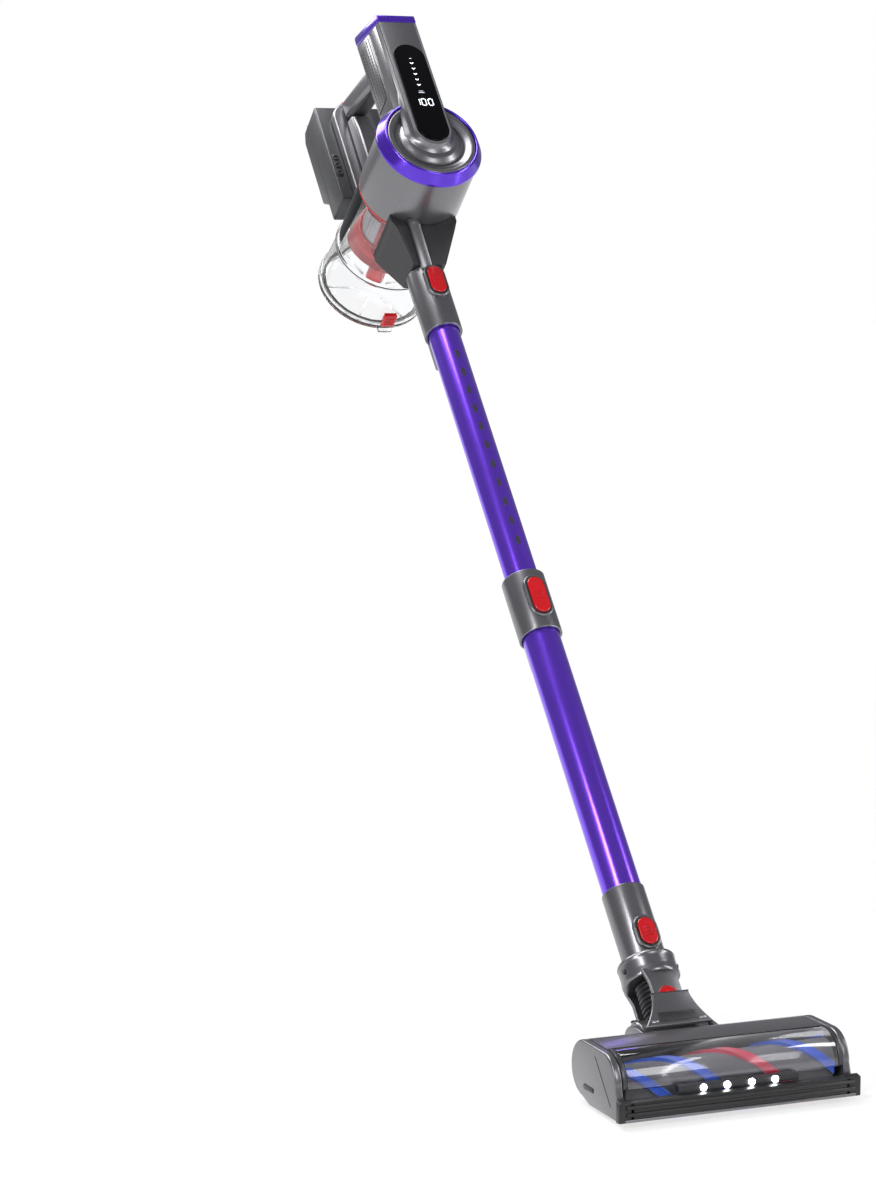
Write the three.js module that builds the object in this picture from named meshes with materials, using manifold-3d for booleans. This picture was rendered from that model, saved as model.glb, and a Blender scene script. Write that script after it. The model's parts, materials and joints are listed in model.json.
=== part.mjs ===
// A cordless stick vacuum cleaner in millimetres, +Z up: a hand unit with motor, dust cup and
// battery, a telescopic wand that leans back, and a powered floor head on a two-way neck.
// The origin is the middle of the hand grip. The head's long side lies along X and its front is -Y.
import * as THREE from "three";
import { mergeVertices } from "three/addons/utils/BufferGeometryUtils.js";
import Module from "manifold-3d";

const wasm = await Module();
wasm.setup();

// ---------------------------------------------------------------- driving dimensions
const LEAN = THREE.MathUtils.degToRad(41); // the wand leans back from upright
const PIVOT = { y: 108, z: 36 }; // pitch axis of the neck, from the roller axis and the floor
const AXIS_HEIGHT = 1090; // motor axis above the pitch pivot, along the wand
const GRIP = { y: -4, z: 182 }; // middle of the grip bar, from the motor axis
const GAP = 0.4; // clearance between fitted pieces
const FINE = 24; // sides of a large round
const ROUND = 16; // sides of a small round

const TUBE = { upper: 18.3, lower: 20.5, wall: 1.8, bottom: 128, join: 490, top: 948 };
const COLLAR = { radius: 22.5, airway: 14, spine: 29, spineHalf: 9 };
const BUTTON = { half: 9.4, face: -27.4, back: -21.4, floor: -18.6 };
const HOUSING = { radius: 61, wall: 3, front: -104.7, back: -27 };
const RING = { radius: 63, lip: 54.5, front: -121, back: -105 };
const CUP = { radius: 60, wall: 2.4, step: 72, flange: 66.5, back: 138 };
const TOWER = { half: 24, front: -129, back: -58, foot: 6.5, frontTop: 175, rise: 0.4 };
const DISPLAY = { half: 19.5, bottom: -13, top: 138 };
const STRUT = { bottom: 63.2, top: 79.6, half: 14 };
const BAR = { front: -57.7, back: 49.7, low: 148, height: 30, rise: 38, half: 13 };
const DOCK = { front: 50, back: 61.4, top: 218, half: 26 };
const BATTERY = { front: 61.8, back: 116, bottom: 71, top: 220, half: 42 };
const GAUGE = { x: -34.5, from: 112, pitch: 12, radius: 3.8 };
const HEAD = { half: 117, cap: 8, height: 63, axis: 34, rear: 42, arc: 29, bumper: 128 };
const ROLLER = { axis: 28, core: 16, sleeve: 22, strip: 25.4, half: 111, turn: 190 };
const WHEEL = { radius: 21, x: 52, width: 14, y: 96 };
const SWIVEL = 34; // swivel axis above the pitch pivot, along the wand
const TONGUE = 16; // half the width of the tongues beside the hose

// ---------------------------------------------------------------- materials
const finish = (color, roughness, metalness) => ({ color, roughness, metalness });
const GUNMETAL = finish(0x66676b, 0.38, 0.55);
const DARK = finish(0x1d1e21, 0.5, 0.1);
const PURPLE = finish(0x4a1fd0, 0.25, 0.6);
const RED = finish(0xc01018, 0.25, 0.05);
const CLEAR = finish(0xdfe6e8, 0.08, 0.0);
const SMOKE = finish(0x3a3b40, 0.1, 0.0);
const GLASS = finish(0x050507, 0.05, 0.0);
const STEEL = finish(0xb8bbc0, 0.3, 1.0);
const RUBBER = finish(0x141414, 0.8, 0.0);
const PLUSH = finish(0x6f7074, 0.95, 0.0);
const BLUE = finish(0x1f47d8, 0.9, 0.0);
const CRIMSON = finish(0xd01f30, 0.9, 0.0);
const WHITE = finish(0xf2f2ee, 0.7, 0.0);
const BOARD = finish(0x12572f, 0.6, 0.1);

// ---------------------------------------------------------------- solids
function toManifold(geometry) {
  const bare = geometry.clone();
  bare.deleteAttribute("normal");
  bare.deleteAttribute("uv");
  const merged = mergeVertices(bare, 1e-3);
  return new wasm.Manifold(
    new wasm.Mesh({
      numProp: 3,
      vertProperties: merged.attributes.position.array,
      triVerts: new Uint32Array(merged.index.array),
    }),
  );
}

function toGeometry(manifold) {
  const mesh = manifold.getMesh();
  const geometry = new THREE.BufferGeometry();
  geometry.setAttribute("position", new THREE.BufferAttribute(mesh.vertProperties, 3));
  geometry.setIndex(new THREE.BufferAttribute(mesh.triVerts, 1));
  geometry.computeVertexNormals();
  return geometry;
}

const join = (...list) => toGeometry(list.map(toManifold).reduce((a, b) => a.add(b)));
const cut = (base, ...tools) => {
  return toGeometry(tools.map(toManifold).reduce((a, b) => a.subtract(b), toManifold(base)));
};
const common = (a, b) => toGeometry(toManifold(a).intersect(toManifold(b)));

function block(x0, x1, y0, y1, z0, z1) {
  const geometry = new THREE.BoxGeometry(x1 - x0, y1 - y0, z1 - z0);
  return geometry.translate((x0 + x1) / 2, (y0 + y1) / 2, (z0 + z1) / 2);
}

const rodX = (r, x0, x1, y = 0, z = 0, sides = ROUND) =>
  new THREE.CylinderGeometry(r, r, x1 - x0, sides)
    .rotateZ(-Math.PI / 2)
    .translate((x0 + x1) / 2, y, z);
const rodY = (r, y0, y1, x = 0, z = 0, sides = ROUND) =>
  new THREE.CylinderGeometry(r, r, y1 - y0, sides).translate(x, (y0 + y1) / 2, z);
const rodZ = (r, z0, z1, x = 0, y = 0, sides = ROUND) =>
  new THREE.CylinderGeometry(r, r, z1 - z0, sides)
    .rotateX(Math.PI / 2)
    .translate(x, y, (z0 + z1) / 2);

// A turned piece: profile points are [radius, station along the axis].
function turned(profile, sides) {
  const points = profile.map(([r, s]) => new THREE.Vector2(r, s));
  const closes = points[0].x > 0 || points[points.length - 1].x > 0;
  if (THREE.ShapeUtils.area(points) < 0) points.reverse();
  if (closes) points.push(points[0].clone());
  return new THREE.LatheGeometry(points, sides);
}

const turnedY = (profile, sides = FINE) => turned(profile, sides);
const turnedZ = (profile, sides = FINE) => turned(profile, sides).rotateX(Math.PI / 2);
const turnedX = (profile, sides = FINE) => turned(profile, sides).rotateZ(-Math.PI / 2);

const outline = (points) => new THREE.Shape(points.map(([a, b]) => new THREE.Vector2(a, b)));

function extruded(shape, depth, bevel) {
  const settings = { depth: depth - 2 * bevel, curveSegments: 6, bevelEnabled: bevel > 0 };
  Object.assign(settings, { bevelSize: bevel, bevelThickness: bevel, bevelSegments: 1 });
  settings.bevelOffset = -bevel;
  return new THREE.ExtrudeGeometry(shape, settings).translate(0, 0, bevel);
}

// Extrusions: across X from a (y, z) outline, and along Y from an (x, z) outline.
function acrossX(shape, x0, x1, bevel = 0) {
  const turn = new THREE.Matrix4().makeBasis(
    new THREE.Vector3(0, 1, 0),
    new THREE.Vector3(0, 0, 1),
    new THREE.Vector3(1, 0, 0),
  );
  return extruded(shape, x1 - x0, bevel)
    .applyMatrix4(turn)
    .translate(x0, 0, 0);
}

function alongY(shape, y0, y1, bevel = 0) {
  return extruded(shape, y1 - y0, bevel)
    .rotateX(Math.PI / 2)
    .translate(0, y1, 0);
}

// An upright outline with round ends, from z0 to z1.
function pill(half, z0, z1, squareTop = false) {
  const shape = new THREE.Shape();
  shape.absarc(0, z0 + half, half, Math.PI, 2 * Math.PI, false);
  if (squareTop) {
    shape.lineTo(half, z1);
    shape.lineTo(-half, z1);
  } else {
    shape.absarc(0, z1 - half, half, 0, Math.PI, false);
  }
  shape.closePath();
  return shape;
}

const tube = (outer, inner, z0, z1) =>
  turnedZ([[outer, z0], [outer, z1], [inner, z1], [inner, z0]]);

// ---------------------------------------------------------------- wand
const NOTCHES = { count: 11, first: 590, pitch: 26, half: 2.2, length: 11, depth: 0.9 };

function upperTube() {
  const inner = TUBE.upper - TUBE.wall;
  const notches = [];
  for (let i = 0; i < NOTCHES.count; i++) {
    const z = NOTCHES.first + i * NOTCHES.pitch;
    const y = -TUBE.upper;
    notches.push(
      block(-NOTCHES.half, NOTCHES.half, y - 1, y + NOTCHES.depth, z, z + NOTCHES.length),
    );
  }
  return cut(tube(TUBE.upper, inner, TUBE.join + 14, TUBE.top), ...notches);
}

const lowerTube = () => tube(TUBE.lower, TUBE.lower - TUBE.wall, TUBE.bottom, TUBE.join);

// A sleeve with a raised pad for its press button on the front and a latch spine behind.
function collarShell(profile, padFrom, padTo, spineFrom, spineTo) {
  const pad = alongY(pill(BUTTON.half + 3.6, padFrom - 4, padTo + 4), -25, -18);
  const spine = block(-COLLAR.spineHalf, COLLAR.spineHalf, 21, COLLAR.spine, spineFrom, spineTo);
  return join(turnedZ(profile), pad, spine);
}

const buttonWell = (from, to) => alongY(pill(BUTTON.half + GAP, from - GAP, to + GAP), -32, BUTTON.floor);
const button = (from, to) => alongY(pill(BUTTON.half, from, to), BUTTON.face, BUTTON.back, 0.8);

const MID = { from: 478, to: 553, buttonFrom: 495, buttonTo: 540 };

function midCollar() {
  const tight = TUBE.upper + GAP;
  const shell = collarShell(
    [[24, MID.from], [24, MID.to], [tight, MID.to], [tight, TUBE.join + GAP],
      [TUBE.lower + GAP, TUBE.join + GAP], [TUBE.lower + GAP, MID.from]],
    MID.buttonFrom, MID.buttonTo, 452, 548,
  );
  const bore = rodZ(tight, MID.from - 30, MID.to + 1, 0, 0, FINE);
  return cut(shell, buttonWell(MID.buttonFrom, MID.buttonTo), bore);
}

const LOW = { from: 86.4, to: 165, spigot: 66.8, buttonFrom: 92, buttonTo: 122 };

function bottomCollar() {
  const seat = TUBE.lower + GAP;
  const shell = collarShell(
    [[COLLAR.radius, LOW.from], [COLLAR.radius, LOW.to], [seat, LOW.to], [seat, TUBE.bottom - GAP],
      [COLLAR.airway, TUBE.bottom - GAP], [COLLAR.airway, LOW.spigot], [20.2, LOW.spigot],
      [20.2, LOW.from]],
    LOW.buttonFrom, LOW.buttonTo, 92, 142,
  );
  return cut(shell, buttonWell(LOW.buttonFrom, LOW.buttonTo));
}

// ---------------------------------------------------------------- neck
function neckSocket() {
  const body = turnedZ([[30, 62], [30, 84], [28, 86], [20.6, 86], [20.6, 66.4], [15, 66.4], [15, 62]]);
  const tongue = alongY(pill(TONGUE, SWIVEL - TONGUE, 66, true), -26.8, 26.8);
  const gapBetween = block(-20, 20, -22, 22, 10, 62);
  const windpipe = rodZ(20.6, 62, 90, 0, 0, FINE);
  return cut(join(body, cut(tongue, gapBetween, windpipe)), pivotHole(10.4));
}

const pivotHole = (r) => rodY(r, -40, -20, 0, SWIVEL);

// A round hub that fills the front tongue's hole, with a pin that stands in the fork's wall.
function swivelHub() {
  const profile = [[0, -22.2], [10, -22.2], [10, -27], [4, -27], [4, -30.6], [0, -30.6]];
  return turnedY(profile, ROUND).translate(0, 0, SWIVEL);
}

function neckHose() {
  const profile = [];
  const rings = 6;
  for (let i = 0; i <= rings * 2; i++) {
    profile.push([i % 2 ? 16.6 : 18.4, 20.6 + (i * 40.4) / (rings * 2)]);
  }
  return turnedZ([...profile, [14.4, 61], [14.4, 20.6]], ROUND);
}

function swivelYoke() {
  const horn = outline([[-37, 0], [-29, 12], [-23, 24], [-20, 36], [20, 36], [23, 24], [29, 12], [37, 0]]);
  const barrel = rodX(20, -37, 37, 0, 0, FINE);
  const walls = [alongY(horn, -31, -27.3), alongY(horn, 27.3, 31)];
  const base = block(-22, 22, -31, 31, 2, 16);
  const duct = rodZ(14.4, 6, 20);
  const throat = block(-14, 14, -24, 0, -9, 9);
  return cut(join(barrel, base, ...walls), duct, throat, rodX(5.3, -40, 40), pivotHole(4.3));
}

// ---------------------------------------------------------------- floor head
function capOutline() {
  const shape = new THREE.Shape();
  shape.moveTo(-33, 3);
  shape.lineTo(28, 3);
  shape.lineTo(44, 8);
  shape.absarc(HEAD.rear, 35.5, 27.5, -Math.PI / 2 + 0.1, Math.PI / 2, false);
  shape.absarc(0, HEAD.axis, HEAD.arc, Math.PI / 2, Math.PI, false);
  shape.lineTo(-33, 22);
  shape.closePath();
  return shape;
}

// The right end cover, with the bearing boss that carries the roller.
function endCap() {
  const plate = acrossX(capOutline(), HEAD.half, HEAD.half + HEAD.cap, 1.6);
  const boss = rodX(10, HEAD.half - 3.2, HEAD.half + 2, 0, ROLLER.axis);
  const bearing = rodX(4.4, HEAD.half - 4, HEAD.half + 1.4, 0, ROLLER.axis);
  return cut(join(plate, boss), bearing);
}

const mirrored = (geometry) => {
  const flipped = geometry.clone().applyMatrix4(new THREE.Matrix4().makeScale(-1, 1, 1));
  const index = flipped.index.array;
  for (let i = 0; i < index.length; i += 3) {
    [index[i + 1], index[i + 2]] = [index[i + 2], index[i + 1]];
  }
  return flipped;
};

function headHousing() {
  const half = HEAD.half - GAP;
  const shape = new THREE.Shape();
  shape.moveTo(5.6, 60);
  shape.lineTo(30.6, 60);
  shape.lineTo(30.6, 8);
  shape.lineTo(HEAD.rear, 8);
  shape.absarc(HEAD.rear, 35.5, 27.5, -Math.PI / 2, Math.PI / 2, false);
  shape.lineTo(5.6, 63);
  shape.closePath();
  const room = new THREE.Path();
  room.moveTo(33.2, 10.8);
  room.lineTo(HEAD.rear, 10.8);
  room.absarc(HEAD.rear, 35.5, 24.7, -Math.PI / 2, Math.PI / 2, false);
  room.lineTo(33.2, 60.2);
  room.closePath();
  shape.holes.push(room);
  const airway = block(-22, 22, 28, 76, 22, 46);
  return cut(acrossX(shape, -half, half), airway);
}

function arcBand(radius, wall, from, to) {
  const shape = new THREE.Shape();
  shape.absarc(0, HEAD.axis, radius, from, to, false);
  shape.absarc(0, HEAD.axis, radius - wall, to, from, true);
  shape.closePath();
  return shape;
}

const headWindow = () =>
  acrossX(arcBand(HEAD.arc, 2, THREE.MathUtils.degToRad(80), THREE.MathUtils.degToRad(194)), -112, 112);

function solePlate() {
  const plate = block(-HEAD.half + GAP, HEAD.half - GAP, -33, 30.2, 3, 6);
  return cut(plate, block(-112.5, 112.5, -26, 25, 0, 10));
}

function frontBumper() {
  const bar = acrossX(outline([[-45, 5], [-37, 4], [-33.4, 8], [-33.4, 21], [-38, 25.4], [-45, 24]]),
    -HEAD.half + GAP, HEAD.half - GAP);
  const tipOutline = outline([[-45, 5], [-37, 4], [-34.4, 8], [-34.4, 20], [-38, 25.4], [-45, 24]]);
  const tips = [acrossX(tipOutline, -HEAD.bumper, -116), acrossX(tipOutline, 116, HEAD.bumper)];
  const groove = block(-122, 122, -46, -43.6, 12, 17);
  return cut(join(bar, ...tips), groove, endRelief(-1), endRelief(1));
}

// Room in the bumper's tips for the end covers behind them.
function endRelief(side) {
  const shape = outline([[-36.8, 0], [0, 0], [0, 40], [-36.8, 40]]);
  return side > 0
    ? acrossX(shape, HEAD.half - GAP, HEAD.bumper + 1)
    : acrossX(shape, -HEAD.bumper - 1, -HEAD.half + GAP);
}

const LEDS = { x: [-38, -13, 13, 38], z: 29.2 };

function ledBar() {
  const bar = block(-62, 62, -39, -31, 25.8, 32);
  const lenses = LEDS.x.map((x) => rodY(3.2, -41, -38, x, LEDS.z));
  return join(bar, ...lenses);
}

function rollerCore() {
  const { axis, core, half } = ROLLER;
  return turnedX([[0, -half - 5], [4, -half - 5], [4, -half], [core, -half], [core, half],
    [4, half], [4, half + 5], [0, half + 5]]).translate(0, 0, axis);
}

function rollerSleeve() {
  const { axis, core, sleeve, half } = ROLLER;
  return turnedX([[core + 0.3, -half], [sleeve, -half], [sleeve, half], [core + 0.3, half]])
    .translate(0, 0, axis);
}

// A helical brush strip: a long bar wound onto the sleeve, starting at the given angle.
function rollerStrip(start) {
  const { axis, sleeve, strip, half, turn } = ROLLER;
  const inner = sleeve + 1.2;
  const geometry = new THREE.BoxGeometry(2 * half - 2, 10, strip - inner, 36, 1, 1);
  const place = geometry.attributes.position;
  for (let i = 0; i < place.count; i++) {
    const r = (inner + strip) / 2 + place.getZ(i);
    const angle = start + (2 * Math.PI * place.getX(i)) / turn - place.getY(i) / strip;
    place.setXYZ(i, place.getX(i), -r * Math.sin(angle), axis + r * Math.cos(angle));
  }
  return geometry;
}

function neckCradle() {
  const side = outline([[70.3, 12], [96, 9], [116, 20], [126, 36], [118, 50], [100, 54], [70.3, 50]]);
  const plates = [acrossX(side, 37.5, 42.5), acrossX(side, -42.5, -37.5)];
  const wall = block(-42.5, 42.5, 70.3, 74, 12, 50);
  const stubs = [rodX(4, 42, 61, WHEEL.y, WHEEL.radius), rodX(4, -61, -42, WHEEL.y, WHEEL.radius)];
  const axleHole = rodX(5.3, -60, 60, PIVOT.y, PIVOT.z);
  const airway = block(-22, 22, 60, 80, 22, 46);
  return cut(join(...plates, wall, ...stubs), axleHole, airway);
}

function wheel(side) {
  const { radius, x, width } = WHEEL;
  const w = width / 2;
  const profile = [[4.3, -w], [15, -w + 1], [16, -w], [radius - 1, -w], [radius, -w + 1.2],
    [radius, w - 1.2], [radius - 1, w], [16, w], [15, w - 1], [4.3, w]];
  return turnedX(profile).translate(side * x, WHEEL.y, radius);
}

const DRIVE = { y: 49.4, z: 35.5, radius: 15.4, pulley: 8, motorEnd: 98 };

function brushMotor() {
  const { y, z, radius, motorEnd } = DRIVE;
  return turnedX([[0, 30], [12, 30], [12, 32], [radius, 32], [radius, motorEnd - 8],
    [10, motorEnd - 8], [10, motorEnd - 4], [0, motorEnd - 4]], ROUND).translate(0, y, z);
}

// The gear on the motor's end, which drives the roller through the belt.
const motorPulley = () =>
  rodX(DRIVE.pulley, DRIVE.motorEnd - 3.6, DRIVE.motorEnd + 10, DRIVE.y, DRIVE.z);

// ---------------------------------------------------------------- hand unit: motor and cyclone

function motorHousing() {
  const { radius, wall, front, back } = HOUSING;
  const inner = radius - wall;
  return turnedY([[inner, back], [radius, back], [radius, front], [inner, front], [inner, -52],
    [40, -52], [40, -49], [inner, -49]]);
}

function trimRing() {
  const { radius, lip, front, back } = RING;
  return turnedY([[lip - 1.5, back], [radius, back], [radius, back - 3.5], [lip + 1.5, front + 0.8],
    [lip, front], [lip - 1.5, front + 0.8]], 48);
}

function frontCap() {
  const rim = RING.lip - 1.9;
  return turnedY([[0, RING.back + 0.6], [rim, RING.back + 0.6], [rim, -119.6], [50, -120.4],
    [44, -114.5], [37, -114.5], [35, -118], [32.5, -118], [30, -121.1], [0, -121.1]]);
}

function suctionMotor() {
  return cut(turnedY([[0, -100], [24, -100], [24, -94], [37, -92], [37, -56], [30, -54], [0, -54]]),
    rodY(3.4, -80, -50));
}

function impeller() {
  const disc = turnedY([[0, -48], [35, -48], [35, -46], [9, -45], [7, -36], [0, -34]]);
  const shaft = rodY(3, -78, -40);
  const blades = [];
  for (let i = 0; i < 9; i++) {
    blades.push(block(6, 34, -46.5, -39, -0.8, 0.8).rotateY((i * 2 * Math.PI) / 9));
  }
  return join(disc, shaft, ...blades);
}

const filterRim = () =>
  turnedY([[30, -33], [56, -33], [56, -27.8], [30, -27.8]]);

function filterPleats() {
  const shape = new THREE.Shape();
  const pleats = 20;
  for (let i = 0; i < pleats * 2; i++) {
    const angle = (i * Math.PI) / pleats;
    const r = i % 2 ? 31 : 36;
    const place = [r * Math.cos(angle), r * Math.sin(angle)];
    if (i) shape.lineTo(...place);
    else shape.moveTo(...place);
  }
  shape.closePath();
  return cut(alongY(shape, -27.4, 24), rodY(26, -30, 20));
}

const OUTLET = { x: -20, z: -33, radius: 11, end: 86 }; // where the dust leaves the cyclone

function cycloneShroud() {
  const flange = turnedY([[46.4, -26.4], [54, -26.4], [54, -12], [46.4, -12]]);
  const skirt = turnedY([[0, 55], [20, 55], [46, 52], [46.4, 36], [48.5, 36], [55, 56], [52, 59],
    [0, 59]]);
  const bars = [];
  for (let i = 0; i < 4; i++) {
    bars.push(block(46.4, 49.5, -14, 40, -5, 5).rotateY(((i + 0.5) * Math.PI) / 2));
  }
  const { x, z, radius, end } = OUTLET;
  const outlet = rodY(radius, 57, end, x, z);
  return cut(join(flange, skirt, ...bars, outlet), rodY(radius - 2.4, 50, end + 6, x, z));
}

const meshScreen = () => turnedY([[44.6, -26], [45.9, -26], [45.9, 35.5], [44.6, 35.5]]);

const HINGE = { y: 143.2, z: 70.4, pin: 2.2 };

function dustCup() {
  const { radius, wall, step, flange, back } = CUP;
  const inner = radius - wall;
  const shell = turnedY([[inner, HOUSING.back + GAP], [radius, HOUSING.back + GAP], [radius, step - 1],
    [radius + 2.5, step], [radius + 2.5, step + 4], [radius + 0.5, step + 5.5], [64.5, back - 6],
    [flange, back - 5], [flange, back], [62, back], [58.2, step + 6], [inner, step]]);
  const ears = [block(12.5, 16.5, back - 5, HINGE.y + 3.5, 61, 74),
    block(-16.5, -12.5, back - 5, HINGE.y + 3.5, 61, 74)];
  const doorRoom = block(-20, 20, back, back + 12, 50, flange + GAP);
  const inlet = rodZ(14, -72, -50, 0, 6);
  const pinHole = rodX(HINGE.pin + 0.3, -20, 20, HINGE.y, HINGE.z, 16);
  return cut(join(shell, ...ears), doorRoom, inlet, pinHole);
}

const doorSeal = () =>
  turnedY([[57, CUP.back - 2.6], [60.9, CUP.back - 2.6], [60.9, CUP.back + 0.1], [57, CUP.back + 0.1]]);

function dustDoor() {
  const front = CUP.back + 0.5;
  const disc = turnedY([[0, front], [CUP.flange, front], [CUP.flange, front + 2.4], [60, front + 4.4],
    [0, front + 4.4]]);
  const lug = block(-12, 12, front, HINGE.y + 3.2, 58, 74);
  const catchLug = block(-9, 9, front, front + 4.4, -71, -60);
  return cut(join(disc, lug, catchLug), rodX(HINGE.pin + 0.3, -20, 20, HINGE.y, HINGE.z, 16));
}

const doorPin = () => rodX(HINGE.pin, -16.4, 16.4, HINGE.y, HINGE.z, 16);
const dustLatch = () => acrossX(
  outline([[112, -71.5], [131, -71.5], [132.4, -70], [132.4, -65.4], [112, -65.4]]), -8, 8, 0.8);

// ---------------------------------------------------------------- hand unit: inlet
const saddle = () => rodY(HOUSING.radius + GAP + 0.1, -90, 71, 0, 0, FINE);

function inletFunnel() {
  const front = outline([[-21, -105], [21, -105], [41, -54], [41, -38], [-41, -38], [-41, -54]]);
  const side = outline([[-21, -105], [21, -105], [30, -62], [30, -38], [-40, -38], [-40, -66]]);
  const body = common(alongY(front, -60, 70), acrossX(side, -50, 50));
  return cut(body, saddle(), rodZ(14, -110, -40, 0, 5));
}

const INLET = { from: -193, to: -105.4, seat: -140, buttonFrom: -150, buttonTo: -112 };

function inletCollar() {
  const seat = TUBE.upper + GAP;
  const shell = collarShell(
    [[COLLAR.radius, INLET.from], [COLLAR.radius, INLET.to], [COLLAR.airway, INLET.to],
      [COLLAR.airway, INLET.seat], [seat, INLET.seat], [seat, INLET.from]],
    INLET.buttonFrom, INLET.buttonTo, -222, -116,
  );
  const ribSide = outline([[-14, -113], [-21.6, -105.4], [-40.6, -66], [-40.6, -40], [-48, -40],
    [-48, -64], [-24.5, -108]]);
  const ribFront = outline([[-12, -114], [2, -114], [-14, -40], [-26, -40]]);
  const rib = common(acrossX(ribSide, -30, 10), alongY(ribFront, -60, 0));
  return cut(join(shell, rib), saddle(), buttonWell(INLET.buttonFrom, INLET.buttonTo),
    rodZ(seat, INLET.from - 1, INLET.seat, 0, 0, FINE), rodZ(COLLAR.airway, INLET.seat - 1, -100));
}

// ---------------------------------------------------------------- hand unit: display tower
const slopeAt = (y) => TOWER.frontTop + TOWER.rise * (y - TOWER.front);

function towerHousing() {
  const { half, front, back, foot } = TOWER;
  const face = alongY(pill(half, foot - half, 240, true), front, RING.front - 0.5);
  const body = block(-half, half, RING.front - 1, back, 50, 240);
  const belly = rodY(RING.radius + GAP, RING.front - 0.45, 0, 0, 0, 48);
  const above = acrossX(outline([[-160, slopeAt(-160)], [-20, slopeAt(-20)], [-20, 300], [-160, 300]]),
    -40, 40);
  const room = block(-half + 3, half - 3, front + 3.4, back - 3, 66, 260);
  const pocket = alongY(pill(DISPLAY.half + GAP, DISPLAY.bottom - GAP, DISPLAY.top + GAP), front - 5,
    front + 1.8);
  return cut(join(face, body), belly, above, room, pocket);
}

function towerCap() {
  const { half, front, back } = TOWER;
  const low = (y) => slopeAt(y) + GAP;
  return acrossX(outline([[front, low(front)], [back, low(back)], [back, low(back) + 11],
    [back - 3, low(back) + 13], [front + 2, low(front) + 12], [front, low(front) + 10.5]]), -half, half, 1.5);
}

const displayGlass = () =>
  alongY(pill(DISPLAY.half, DISPLAY.bottom, DISPLAY.top), TOWER.front - 1.6, TOWER.front + 1.4, 0.6);
const mainBoard = () => block(-18, 18, -72, -70.4, 70, 160);

function ventGrille(side) {
  const x = side * (TOWER.half + 0.9);
  const panel = block(x - 0.6, x + 0.6, -91, -61, 92, 184);
  const slots = [];
  for (let i = 0; i < 8; i++) slots.push(block(x - 2, x + 2, -88, -64, 98 + i * 10.5, 103 + i * 10.5));
  return cut(panel, ...slots);
}

// ---------------------------------------------------------------- hand unit: handle and battery
const barUnder = (y) => BAR.low + (BAR.rise * (y - BAR.front)) / (BAR.back - BAR.front);

function handleGrip() {
  const { front, back, height, half } = BAR;
  const bar = acrossX(outline([[front, barUnder(front)], [back, barUnder(back)],
    [back, barUnder(back) + height], [front, barUnder(front) + height]]), -half, half, 4);
  return cut(bar, block(-7.6, 7.6, -55.6, -35, 100, 163));
}

const trigger = () => acrossX(
  outline([[-54.6, 136], [-50, 131], [-42, 131], [-37, 137], [-36, 156], [-54.6, 156]]), -7, 7, 1);

function handlePost() {
  const top = (y) => barUnder(y) - GAP;
  const post = acrossX(outline([[26, STRUT.top + GAP], [BAR.back, STRUT.top + GAP],
    [BAR.back, top(BAR.back)], [26, top(26)]]), -12, 12, 3);
  return join(post, rodX(11, -14, 14, 26, 93));
}

function handleStrut() {
  const { bottom, top, half } = STRUT;
  return acrossX(outline([[BAR.front, bottom], [BAR.back, bottom], [BAR.back, top], [16, top],
    [-20, 75], [BAR.front, 73]]), -half, half, 2);
}

function batteryDock() {
  const { front, back, top, half } = DOCK;
  const plate = alongY(pill(half, STRUT.bottom, top), front, back);
  const panel = block(-half, half, front, back, STRUT.bottom, 150);
  const foot = block(-16, 16, front, 88, STRUT.bottom, BATTERY.bottom - 0.5);
  const well = block(-9.4, 9.4, front + 1.6, back - 1, top - 8, top + 5);
  return cut(join(plate, panel, foot), well);
}

const batteryButton = () => block(-9, 9, DOCK.front + 2, DOCK.back - 1.4, DOCK.top - 5, DOCK.top + 2.6);

function batteryCase() {
  const { front, back, bottom, top, half } = BATTERY;
  const lower = back - 14;
  const shell = outline([[front, bottom], [lower, bottom], [lower, 96], [back, 110],
    [back, top - 12], [back - 8, top], [front, top]]);
  const room = outline([[front + 2, bottom + 3], [lower - 3, bottom + 3], [lower - 3, 97.5],
    [back - 3, 111.5], [back - 3, top - 13], [back - 9.5, top - 3], [front + 2, top - 3]]);
  const chargeSocket = rodX(1.9, half - 5, half + 1, 84, 176, 12);
  return cut(acrossX(shell, -half, half, 1.5), acrossX(room, -half + 2.6, half - 2.6), chargeSocket);
}

function batteryCells() {
  const cells = [];
  for (let column = 0; column < 4; column++) {
    const x = (column - 1.5) * 17.8;
    cells.push(rodZ(9, 75, 140.2, x, 75, 16));
    cells.push(rodZ(9, 139.8, 205, x, 75, 16));
  }
  return join(...cells);
}

// Three level lights on the front face, beside the dock.
function batteryGauge() {
  const { x, from, pitch, radius } = GAUGE;
  const face = BATTERY.front - GAP;
  const strip = block(x - 4.5, x + 4.5, face - 0.8, face, from - 6, from + 2 * pitch + 6);
  const lights = [0, 1, 2].map((i) => rodY(radius, face - 1.6, face, x, from + i * pitch, 16));
  return join(strip, ...lights);
}

// ---------------------------------------------------------------- assembly
function piece(name, geometry, look) {
  const mesh = new THREE.Mesh(geometry, new THREE.MeshStandardMaterial(look));
  mesh.name = name;
  return mesh;
}

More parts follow.
